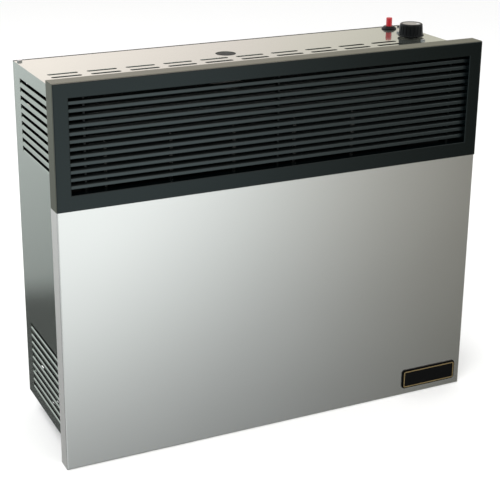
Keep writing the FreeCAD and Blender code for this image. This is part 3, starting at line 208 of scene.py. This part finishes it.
def makeMaterial(name, look):
    material = bpy.data.materials.new(name)
    material.use_nodes = True
    tree = material.node_tree
    shader = tree.nodes["Principled BSDF"]
    skin = tree.nodes.new("ShaderNodeGroup")
    skin.node_tree = skins[look["skin"]]
    for socket, value in look["vary"].items():
        skin.inputs[socket].default_value = (*value, 1) if socket == "Colour" else value
    for socket, value in look.get("shader", {}).items():
        shader.inputs[socket].default_value = value
    if "shade" in look:
        shade = tree.nodes.new("ShaderNodeGroup")
        shade.node_tree = shades[look["shade"]]
        shade.inputs["Colour"].default_value = (*look["vary"]["Colour"], 1)
        tree.links.new(shade.outputs["Colour"], skin.inputs["Colour"])
        if "dull" in look:  # the painted faces are less metallic by this much
            less = mathNode(tree, "MULTIPLY", shade.outputs["Cover"], -look["dull"])
            metal = mathNode(tree, "ADD", less, look["shader"]["Metallic"])
            tree.links.new(metal, shader.inputs["Metallic"])
    tree.links.new(skin.outputs["Colour"], shader.inputs["Base Color"])
    gloss = skin.outputs["Gloss"]
    if "matt" in look:  # the painted faces are rougher by this much
        rougher = mathNode(tree, "MULTIPLY", shade.outputs["Cover"], look["matt"])
        gloss = mathNode(tree, "ADD", gloss, rougher)
    tree.links.new(gloss, shader.inputs["Roughness"])
    tree.links.new(skin.outputs["Normal"], shader.inputs["Normal"])
    return material


# looks of the CAD pieces, by material slot
slotLooks = {
    "silver_enamel": {
        "skin": "smooth",
        "vary": {"Colour": (0.66, 0.65, 0.63), "Drift": 0.03, "Grain": 900,
                 "Rough": 0.2, "Spread": 0.03, "Relief": 0.01},
        "shader": {"Metallic": 1.0},
        # painted shade on the flange faces above the grille's bottom
        "shade": "paintedShadeFlanges",
        "dull": 0.25,
        "matt": 0.25,
    },
    "sage_enamel": {
        "skin": "smooth",
        "vary": {"Colour": (0.362, 0.392, 0.348), "Drift": 0.04, "Grain": 700,
                 "Rough": 0.1, "Spread": 0.02, "Relief": 0.004},
        "shader": {"Metallic": 0.92},
        # painted shade on the sheets that face the room behind the grille
        "shade": "paintedShadeBehindGrille",
    },
    "galvanised_sheet": {
        "skin": "spangled",
        "vary": {"Colour": (0.55, 0.56, 0.57), "Drift": 0.14, "Grain": 70,
                 "Rough": 0.42, "Spread": 0.1, "Relief": 0.02},
        "shader": {"Metallic": 0.9},
    },
    "grille_enamel": {
        "skin": "smooth",
        "vary": {"Colour": (0.0008, 0.0018, 0.002), "Drift": 0.12, "Grain": 500,
                 "Rough": 0.14, "Spread": 0.04, "Relief": 0.03},
        "shader": {"Specular IOR Level": 0.3, "Specular Tint": (0.84, 1, 1, 1)},
    },
    "badge_black": {
        "skin": "smooth",
        "vary": {"Colour": (0.002, 0.002, 0.0023), "Drift": 0.1, "Grain": 400,
                 "Rough": 0.14, "Spread": 0.03, "Relief": 0.01},
        "shader": {"Specular IOR Level": 0.16},
    },
    "chamber_steel": {
        "skin": "smooth",
        "vary": {"Colour": (0.007, 0.008, 0.009), "Drift": 0.25, "Grain": 220,
                 "Rough": 0.75, "Spread": 0.1, "Relief": 0.1},
        "shader": {"Specular IOR Level": 0.0},
    },
    "vent_aluminium": {
        "skin": "brushed",
        "vary": {"Colour": (0.72, 0.73, 0.74), "Drift": 0.08, "Grain": 600,
                 "Rough": 0.35, "Spread": 0.1, "Relief": 0.05},
        "shader": {"Metallic": 1.0},
    },
    "gasket_fibre": {
        "skin": "smooth",
        "vary": {"Colour": (0.66, 0.63, 0.55), "Drift": 0.2, "Grain": 900,
                 "Rough": 0.9, "Spread": 0.05, "Relief": 0.5},
    },
    "sight_glass": {
        "skin": "smooth",
        "vary": {"Colour": (0.9, 0.94, 0.94), "Drift": 0.02, "Grain": 60,
                 "Rough": 0.04, "Spread": 0.02, "Relief": 0.0},
        "shader": {"Transmission Weight": 1.0, "IOR": 1.47},
    },
    "burner_steel": {
        "skin": "brushed",
        "vary": {"Colour": (0.42, 0.41, 0.4), "Drift": 0.15, "Grain": 500,
                 "Rough": 0.45, "Spread": 0.12, "Relief": 0.06},
        "shader": {"Metallic": 0.95},
    },
    "fitting_brass": {
        "skin": "smooth",
        "vary": {"Colour": (0.66, 0.46, 0.18), "Drift": 0.1, "Grain": 400,
                 "Rough": 0.32, "Spread": 0.1, "Relief": 0.04},
        "shader": {"Metallic": 1.0},
    },
    "pipe_aluminium": {
        "skin": "smooth",
        "vary": {"Colour": (0.7, 0.71, 0.72), "Drift": 0.08, "Grain": 400,
                 "Rough": 0.38, "Spread": 0.1, "Relief": 0.04},
        "shader": {"Metallic": 1.0},
    },
    "pipe_steel": {
        "skin": "smooth",
        "vary": {"Colour": (0.03, 0.03, 0.032), "Drift": 0.2, "Grain": 260,
                 "Rough": 0.55, "Spread": 0.1, "Relief": 0.15},
    },
    "copper": {
        "skin": "smooth",
        "vary": {"Colour": (0.62, 0.29, 0.17), "Drift": 0.15, "Grain": 300,
                 "Rough": 0.35, "Spread": 0.1, "Relief": 0.04},
        "shader": {"Metallic": 1.0},
    },
    "electrode_ceramic": {
        "skin": "smooth",
        "vary": {"Colour": (0.82, 0.8, 0.75), "Drift": 0.06, "Grain": 200,
                 "Rough": 0.2, "Spread": 0.05, "Relief": 0.02},
    },
    "lead_sleeve": {
        "skin": "smooth",
        "vary": {"Colour": (0.35, 0.02, 0.015), "Drift": 0.12, "Grain": 500,
                 "Rough": 0.5, "Spread": 0.08, "Relief": 0.08},
    },
    "valve_casting": {
        "skin": "smooth",
        "vary": {"Colour": (0.58, 0.59, 0.6), "Drift": 0.1, "Grain": 700,
                 "Rough": 0.5, "Spread": 0.1, "Relief": 0.3},
        "shader": {"Metallic": 0.9},
    },
    "black_plastic": {
        "skin": "smooth",
        "vary": {"Colour": (0.004, 0.0045, 0.005), "Drift": 0.15, "Grain": 900,
                 "Rough": 0.32, "Spread": 0.06, "Relief": 0.06},
        "shader": {"Specular IOR Level": 0.16},
    },
    "button_red": {
        "skin": "smooth",
        "vary": {"Colour": (0.42, 0.012, 0.02), "Drift": 0.08, "Grain": 500,
                 "Rough": 0.25, "Spread": 0.05, "Relief": 0.03},
        "shader": {"Coat Weight": 0.3},
    },
    "knob_silver": {
        "skin": "brushed",
        "vary": {"Colour": (0.3, 0.3, 0.3), "Drift": 0.1, "Grain": 900,
                 "Rough": 0.3, "Spread": 0.08, "Relief": 0.04},
        "shader": {"Metallic": 0.85},
    },
    "screw_zinc": {
        "skin": "smooth",
        "vary": {"Colour": (0.4, 0.41, 0.42), "Drift": 0.08, "Grain": 900,
                 "Rough": 0.3, "Spread": 0.08, "Relief": 0.05},
        "shader": {"Metallic": 1.0},
    },
}
materials = {slot: makeMaterial(slot, look) for slot, look in slotLooks.items()}
for name, item in nodes.items():
    for slot in item.material_slots:
        slot.material = materials[slotOf[name]]

# pieces that differ from the rest of their slot
pieceLooks = {
    # the slats get a lighter copy of the grille's black as painted highlight, for the light caught on
    # their noses
    "grille_slat": {
        "skin": "smooth",
        "vary": {"Colour": (0.007, 0.0095, 0.0105), "Drift": 0.12, "Grain": 500,
                 "Rough": 0.14, "Spread": 0.04, "Relief": 0.03},
        "shader": {"Specular IOR Level": 0.5, "Specular Tint": (0.84, 1, 1, 1)},
        # painted shade on the slats' upper and lower faces
        "shade": "paintedSlatShade",
        "matt": 0.6,
    },
    "grille_comb": {**slotLooks["grille_enamel"], "shader": {"Specular IOR Level": 0.12}},
    # painted highlight on the flanks of each rib of the chamber front
    "chamber_front": {**slotLooks["chamber_steel"], "shade": "paintedRibHighlight"},
    # the partition gets the chamber's dark look as painted shade, for the shade it stands in behind the
    # grille
    "control_partition": slotLooks["chamber_steel"],
    # painted shade on the inside of the back panel
    "back_panel": {**slotLooks["galvanised_sheet"], "shade": "paintedShadeInnerBack"},
    "valve_plunger": slotLooks["pipe_steel"],
    "valve_spindle": slotLooks["pipe_steel"],
}
for start, look in pieceLooks.items():
    paint = makeMaterial(start, look)
    for name in nodes:
        if name.startswith(start):
            for slot in nodes[name].material_slots:
                slot.material = paint
print("materials on", len(nodes), "nodes")


# meshes of the dressed pieces

def makeObject(name, points, faces, material, body, sharp=35):
    mesh = bpy.data.meshes.new(name)
    mesh.from_pydata(points, [], faces)
    mesh.validate()
    mesh.update()
    mesh.shade_smooth()
    mesh.set_sharp_from_angle(angle=math.radians(sharp))
    mesh.materials.append(material)
    item = bpy.data.objects.new(name, mesh)
    scene.collection.objects.link(item)
    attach(item, body)
    return item


def turnedMesh(profile, centre, steps, dent=None):
    # profile runs from the axis to the axis as (radius, height)
    points, faces = [], []
    for row, (radius, height) in enumerate(profile):
        for step in range(steps):
            angle = 2 * math.pi * step / steps
            reach = radius - (dent(row, angle) if dent else 0)
            x, y = centre[0] + reach * math.cos(angle), centre[1] + reach * math.sin(angle)
            points.append((x, y, height))
    for row in range(len(profile) - 1):
        for step in range(steps):
            after = (step + 1) % steps
            low, high = row * steps, (row + 1) * steps
            faces.append((low + step, low + after, high + after, high + step))
    faces.append(tuple(reversed(range(steps))))
    faces.append(tuple(range((len(profile) - 1) * steps, len(profile) * steps)))
    return points, faces


def roundedLoop(left, right, low, high, corner, steps=6):
    centres = [(right - corner, high - corner), (left + corner, high - corner)]
    centres += [(left + corner, low + corner), (right - corner, low + corner)]
    loop = []
    for quarter, (x, z) in enumerate(centres):
        for step in range(steps + 1):
            angle = math.pi / 2 * (quarter + step / steps)
            loop.append((x + corner * math.cos(angle), z + corner * math.sin(angle)))
    return loop


# knob with rounded flutes
knobLow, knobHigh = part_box("control_knob")
knobLook = {
    "flutes": 20, "depth": 0.0013, "fade": 0.35, "steps": 240,
    "skirt": 0.0016, "ease": 0.0003, "ledge": 0.0004,
    "foot": 0.0017, "head": 0.0029, "edge": 0.0022,  # foot and head of the body, inside the skirt
    "rows": (0.02, 0.25, 0.5, 0.75, 0.9),
    "dish": 0.0012, "dishRadius": 0.0145, "lip": 0.0002,
    "bore": 0.006, "eye": 0.004,
}
quarterTurns = (22, 45, 67, 90)
knobCentre = ((knobLow[0] + knobHigh[0]) / 2, (knobLow[1] + knobHigh[1]) / 2)
knobSkirt = (knobHigh[0] - knobLow[0]) / 2
knobBody, knobTop = knobSkirt - knobLook["foot"], knobSkirt - knobLook["head"]
base, crown = knobLow[2], knobHigh[2]
brim = base + knobLook["skirt"]
ease = knobLook["ease"]
knobProfile = [(knobLook["bore"], base), (knobSkirt - ease, base)]
knobProfile += [(knobSkirt, base + ease), (knobSkirt, brim - ease)]
knobProfile += [(knobSkirt - knobLook["ledge"], brim), (knobBody, brim)]
fluteRows = range(len(knobProfile), len(knobProfile) + len(knobLook["rows"]))
for share in knobLook["rows"]:
    height = brim + (crown - knobLook["edge"] - brim) * share
    knobProfile.append((knobBody + (knobTop - knobBody) * share, height))
for turn in (0, *quarterTurns):
    swing = math.radians(turn)
    radius = knobTop - knobLook["edge"] * (1 - math.cos(swing))
    knobProfile.append((radius, crown - knobLook["edge"] * (1 - math.sin(swing))))
dishRadius, dishFloor = knobLook["dishRadius"], crown - knobLook["dish"]
knobProfile += [(dishRadius + knobLook["lip"], crown), (dishRadius, crown - knobLook["lip"])]
knobProfile += [(dishRadius, dishFloor), (knobLook["eye"], dishFloor)]


def fluteDent(row, angle):
    if row not in fluteRows:
        return 0
    fade = knobLook["fade"] if row == fluteRows[-1] else 1
    return knobLook["depth"] * fade * max(0, math.cos(knobLook["flutes"] * angle)) ** 2


knobPoints, knobFaces = turnedMesh(knobProfile, knobCentre, knobLook["steps"], fluteDent)
knob = makeObject("knobShell", knobPoints, knobFaces, materials["black_plastic"], "knob")
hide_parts("control_knob")

# white pointer mark on the knob's rim
markLook = {
    "turn": -58, "inner": 0.0092, "outer": 0.0152, "half": 0.0008, "rise": 0.0003, "sunk": 0.001,
}
markTurn = math.radians(markLook["turn"])
along = (math.cos(markTurn), math.sin(markTurn))
markPoints = []
for height in (crown - markLook["sunk"], crown + markLook["rise"]):
    for reach, side in (("inner", -1), ("outer", -1), ("outer", 1), ("inner", 1)):
        aside = side * markLook["half"]
        x = knobCentre[0] + along[0] * markLook[reach] - along[1] * aside
        y = knobCentre[1] + along[1] * markLook[reach] + along[0] * aside
        markPoints.append((x, y, height))
markFaces = [(3, 2, 1, 0), (4, 5, 6, 7), (0, 1, 5, 4), (1, 2, 6, 5), (2, 3, 7, 6), (3, 0, 4, 7)]
markPaint = makeMaterial("pointerPaint", {
    "skin": "smooth",
    "vary": {"Colour": (0.85, 0.85, 0.83), "Drift": 0.04, "Grain": 900,
             "Rough": 0.4, "Spread": 0.05, "Relief": 0.05},
})
makeObject("knobPointer", markPoints, markFaces, markPaint, "knob")
print("knob made")

# red button with a soft edge and a slight dome
buttonLow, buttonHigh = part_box("igniter_button")
buttonLook = {
    "edge": 0.001, "steps": 48, "foot": 0.001,
    "shoulder": 0.6, "tip": 0.0005, "dome": (0.0001, 0.0002),
}
buttonCentre = ((buttonLow[0] + buttonHigh[0]) / 2, (buttonLow[1] + buttonHigh[1]) / 2)
buttonRadius, buttonTop = (buttonHigh[0] - buttonLow[0]) / 2, buttonHigh[2]
softEdge = buttonLook["edge"]
buttonProfile = [(buttonLook["foot"], buttonLow[2]), (buttonRadius, buttonLow[2])]
buttonProfile.append((buttonRadius, buttonTop - softEdge))
for turn in quarterTurns:
    swing = math.radians(turn)
    height = buttonTop - softEdge * (1 - math.sin(swing))
    buttonProfile.append((buttonRadius - softEdge * (1 - math.cos(swing)), height))
shoulderRise, tipRise = buttonLook["dome"]
buttonProfile.append((buttonRadius * buttonLook["shoulder"], buttonTop + shoulderRise))
buttonProfile.append((buttonLook["tip"], buttonTop + tipRise))
buttonPoints, buttonFaces = turnedMesh(buttonProfile, buttonCentre, buttonLook["steps"])
buttonPaint = materials["button_red"]
button = makeObject("buttonCap", buttonPoints, buttonFaces, buttonPaint, "igniter_button")
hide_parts("igniter_button")
print("button made")

# gold rim of the bare badge
badgeLow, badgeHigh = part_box("badge_plate")
rimLook = {"width": 0.0017, "inset": 0.0008, "corner": 0.004, "rise": 0.0004}
rimBack, rimFront = badgeLow[1], badgeLow[1] - rimLook["rise"]
rings = []
for inset, y in ((0, rimBack), (0, rimFront), (rimLook["width"], rimFront), (rimLook["width"], rimBack)):
    edge = rimLook["inset"] + inset
    sides = (badgeLow[0] + edge, badgeHigh[0] - edge, badgeLow[2] + edge, badgeHigh[2] - edge)
    loop = roundedLoop(*sides, rimLook["corner"] - edge)
    rings.append([(x, y, z) for x, z in loop])
count = len(rings[0])
rimFaces = []
for ring in range(len(rings)):
    here, following = ring * count, (ring + 1) % len(rings) * count
    for step in range(count):
        after = (step + 1) % count
        rimFaces.append((here + step, here + after, following + after, following + step))
rimGold = makeMaterial("rimGold", {
    "skin": "brushed",
    "vary": {"Colour": (0.55, 0.4, 0.2), "Drift": 0.1, "Grain": 900,
             "Rough": 0.28, "Spread": 0.06, "Relief": 0.04},
    "shader": {"Metallic": 1.0},
})
makeObject("badgeRim", sum(rings, []), rimFaces, rimGold, "heater")
print("badge made")

# pale floor just below the heater
floorLook = {
    "drop": 0.0006, "reach": 14, "clouds": 0.8, "rough": 0.9, "specular": 0.1,
    "pale": (0.93, 0.93, 0.925, 1), "paler": (0.95, 0.95, 0.945, 1),
}
level, reach = cadBox[0][2] - floorLook["drop"], floorLook["reach"]
corners = [(-reach, -reach, level), (reach, -reach, level), (reach, reach, level), (-reach, reach, level)]
floorMesh = bpy.data.meshes.new("floor")
floorMesh.from_pydata(corners, [], [(0, 1, 2, 3)])
floor = bpy.data.objects.new("floor", floorMesh)
scene.collection.objects.link(floor)
floorPaint = bpy.data.materials.new("floorPaint")
floorPaint.use_nodes = True
floorTree = floorPaint.node_tree
floorShader = floorTree.nodes["Principled BSDF"]
floorShader.inputs["Roughness"].default_value = floorLook["rough"]
floorShader.inputs["Specular IOR Level"].default_value = floorLook["specular"]
clouds = floorTree.nodes.new("ShaderNodeTexNoise")
clouds.inputs["Scale"].default_value = floorLook["clouds"]
floorTint = mixColours(floorTree, clouds.outputs["Fac"], floorLook["pale"], floorLook["paler"])
floorTree.links.new(floorTint, floorShader.inputs["Base Color"])
floorMesh.materials.append(floorPaint)
floor.visible_glossy = False  # glossy pieces see the studio's dark end in its place
print("floor made")

# studio that glossy pieces mirror, as ramps over the direction: start, end and the values there
studioLook = {
    "dim": 0.04,  # room in front, away from the bright end
    "bright": 2.15,
    "bend": 2.23,
    "across": (0.718, 0.239),  # dim on the right, bright on the left
    "climb": (-0.655, -0.287, 0, 1.253),  # brighter further up
    "most": (0.1, 0.26, 0.85, 1.7),  # no brighter than this
    "ease": (-0.28, -0.1, 1, 0.7),  # calmer at eye level
    "lift": (0.2, 0, 0, 0.4),  # paler room on the left
    "ground": (-0.55, -0.8, 0, 0.5),  # pale floor straight below
    "edge": (-0.394, -0.376, 0.1, 0.5),  # table's far edge behind the heater
    "wall": (-0.376, -0.2, 0, 0.45),
    "ceiling": (-0.05, 0.15, 0, 0.55),
    "eaves": (-0.2, 0.25),  # ceiling and its warmth end on the left
    "wane": (0.28, 0.54, 1, 0.56),
    "turn": (-0.1, 0.1),  # from the room in front to the room behind
    "warming": (-0.25, 0.1),
    "souring": (0.42, 0.6),
    "cool": (0.95, 1.01, 1.02, 1),
    "warm": (1.075, 0.963, 0.92, 1),
    "olive": (1.03, 1, 0.84, 1),
    "farWall": (0.62, 0.8),  # plain wall beyond the right end
    "plain": (0.72, 0.73, 0.71, 1),
    "soft": (0.95, 0.95, 0.95, 1),  # even light for everything that isn't glossy
    "backdrop": (1, 1, 1, 1),
}
world = bpy.data.worlds.new("studio")
scene.world = world
world.use_nodes = True
skyTree = world.node_tree
sky = skyTree.nodes["Background"]
skyPlace = skyTree.nodes.new("ShaderNodeTexCoord")
direction = skyTree.nodes.new("ShaderNodeSeparateXYZ")
skyTree.links.new(skyPlace.outputs["Generated"], direction.inputs["Vector"])
paths = skyTree.nodes.new("ShaderNodeLightPath")


def ramp(axis, key):
    node = skyTree.nodes.new("ShaderNodeMapRange")
    skyTree.links.new(direction.outputs[axis], node.inputs["Value"])
    for label, value in zip(("From Min", "From Max", "To Min", "To Max"), studioLook[key]):
        node.inputs[label].default_value = value
    return node.outputs[0]


glow = mathNode(skyTree, "MULTIPLY", ramp("X", "across"), ramp("Z", "climb"))
glow = mathNode(skyTree, "POWER", glow, studioLook["bend"])
glow = mathNode(skyTree, "MULTIPLY", glow, studioLook["bright"])
glow = mathNode(skyTree, "ADD", glow, studioLook["dim"])
glow = mathNode(skyTree, "ADD", glow, ramp("X", "lift"))
glow = mathNode(skyTree, "ADD", glow, ramp("Z", "ground"))
most = mathNode(skyTree, "MULTIPLY", ramp("X", "most"), ramp("Z", "ease"))
ahead = mathNode(skyTree, "MINIMUM", glow, most)
eaves = ramp("X", "eaves")
behind = mathNode(skyTree, "ADD", ramp("Z", "edge"), ramp("Z", "wall"))
behind = mathNode(skyTree, "ADD", behind, mathNode(skyTree, "MULTIPLY", ramp("Z", "ceiling"), eaves))
behind = mathNode(skyTree, "MULTIPLY", behind, ramp("X", "wane"))
room = mixColours(skyTree, ramp("Y", "turn"), ahead, behind)
warming = mathNode(skyTree, "MULTIPLY", ramp("Z", "warming"), eaves)
roomTint = mixColours(skyTree, warming, studioLook["cool"], studioLook["warm"])
roomTint = mixColours(skyTree, ramp("X", "souring"), roomTint, studioLook["olive"])
tinted = skyTree.nodes.new("ShaderNodeVectorMath")
tinted.operation = "MULTIPLY"
skyTree.links.new(room, tinted.inputs[0])
skyTree.links.new(roomTint, tinted.inputs[1])
walled = mixColours(skyTree, ramp("X", "farWall"), tinted.outputs[0], studioLook["plain"])
mirrored = mixColours(skyTree, paths.outputs["Is Glossy Ray"], studioLook["soft"], walled)
seen = mixColours(skyTree, paths.outputs["Is Camera Ray"], mirrored, studioLook["backdrop"])
skyTree.links.new(seen, sky.inputs["Color"])

lampLooks = {
    "keyLamp": {"place": (-1.8, -2.2, 2.6), "target": (0, -0.1, 0), "size": 1.8, "power": 55},
    "fillLamp": {"place": (2.4, -2.0, 1.6), "target": (0, -0.1, 0), "size": 1.6, "power": 18},
    "rearLamp": {"place": (-1.2, 1.6, 2.2), "target": (0, -0.1, 0.2), "size": 1.4, "power": 20},
}
for name, look in lampLooks.items():
    light = bpy.data.lights.new(name, "AREA")
    light.size = look["size"]
    light.energy = look["power"]
    lamp = bpy.data.objects.new(name, light)
    lamp.location = look["place"]
    aim = Vector(look["target"]) - Vector(look["place"])
    lamp.rotation_euler = aim.to_track_quat("-Z", "Y").to_euler()
    scene.collection.objects.link(lamp)

cameraLook = {
    "place": (-0.83, -1.8, 0.68), "pitch": -19.02, "turn": -24.37,
    "lens": 89.8, "sensor": 36, "shift": (0.08, -0.09), "far": 60,
}
camera = bpy.data.objects.new("camera", bpy.data.cameras.new("camera"))
camera.location = cameraLook["place"]
camera.rotation_euler = (math.radians(90 + cameraLook["pitch"]), 0, math.radians(cameraLook["turn"]))
camera.data.sensor_width = cameraLook["sensor"]
camera.data.lens = cameraLook["lens"]
camera.data.shift_x, camera.data.shift_y = cameraLook["shift"]
camera.data.clip_end = cameraLook["far"]
scene.collection.objects.link(camera)
scene.camera = camera
scene.view_settings.view_transform = "Standard"
print("studio made")
